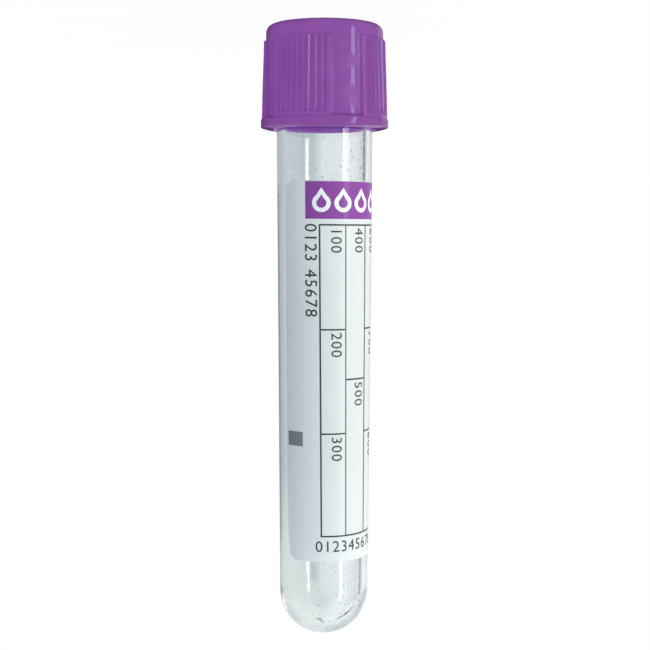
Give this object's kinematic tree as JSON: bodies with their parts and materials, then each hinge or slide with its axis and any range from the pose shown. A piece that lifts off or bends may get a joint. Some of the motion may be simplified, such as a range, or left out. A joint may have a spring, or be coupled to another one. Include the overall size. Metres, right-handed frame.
{
  "type": "blood collection tube",
  "caption": "Clear round-bottomed blood sample tube with a wrapped paper label, closed by a rubber stopper in a ribbed twist-off plastic cap.",
  "frame": {"origin": "centre of the cap's flat top, on which the tube stands", "axes": "+Z along the tube's axis from the cap's top towards the round bottom, -Y towards the front of the label"},
  "size_m": [0.0168, 0.0168, 0.0815],
  "materials": {
    "cap_plastic": "moulded polypropylene, satin",
    "ring_plastic": "moulded polypropylene, satin",
    "stopper_rubber": "matt moulded rubber",
    "clear_plastic": "clear polished PET",
    "label_paper": "coated paper label with printed fields"
  },
  "bodies": {
    "cap": {"cap_shell": "cap_plastic", "retaining_ring": "ring_plastic"},
    "stopper": {"rubber_stopper": "stopper_rubber"},
    "tube": {"tube": "clear_plastic", "paper_label": "label_paper"}
  },
  "joints": [
    {"name": "twist", "type": "hinge", "parent": "cap", "child": "stopper", "pos_m": [0, 0, 0.0065], "axis": [0, 0, 1], "continuous": true},
    {"name": "pull", "type": "slide", "parent": "stopper", "child": "tube", "axis": [0, 0, 1], "range_m": [0, 0.025]}
  ]
}
